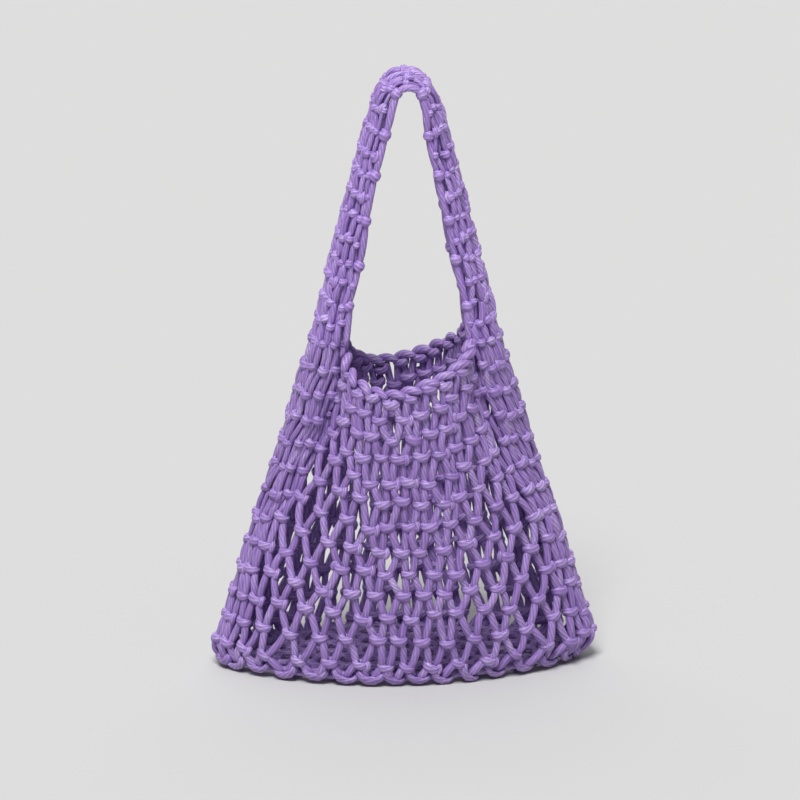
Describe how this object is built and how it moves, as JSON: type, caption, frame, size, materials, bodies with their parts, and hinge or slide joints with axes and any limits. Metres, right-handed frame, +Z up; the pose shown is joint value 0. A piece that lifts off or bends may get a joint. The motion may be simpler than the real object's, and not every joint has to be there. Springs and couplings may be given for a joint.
{
  "type": "net market bag",
  "caption": "Purple macrame net market bag of thick ribbed cotton cord, standing, with a knotted strap handle over a dipped open mouth.",
  "frame": {"origin": "bottom centre of the bag's bounding box, on the surface it stands on", "axes": "+Z up along the handle, +X across the bag to its right side, the front panel faces -Y"},
  "size_m": [0.3604, 0.1594, 0.5873],
  "materials": {
    "body_cord": "matte",
    "handle_cord": "matte",
    "mouth_cord": "matte",
    "base_cord": "matte"
  },
  "bodies": {
    "root": {"net_front": "body_cord", "net_back": "body_cord", "handle_strap": "handle_cord", "mouth_cord_front": "mouth_cord", "mouth_cord_back": "mouth_cord", "base_net": "base_cord"}
  },
  "joints": []
}
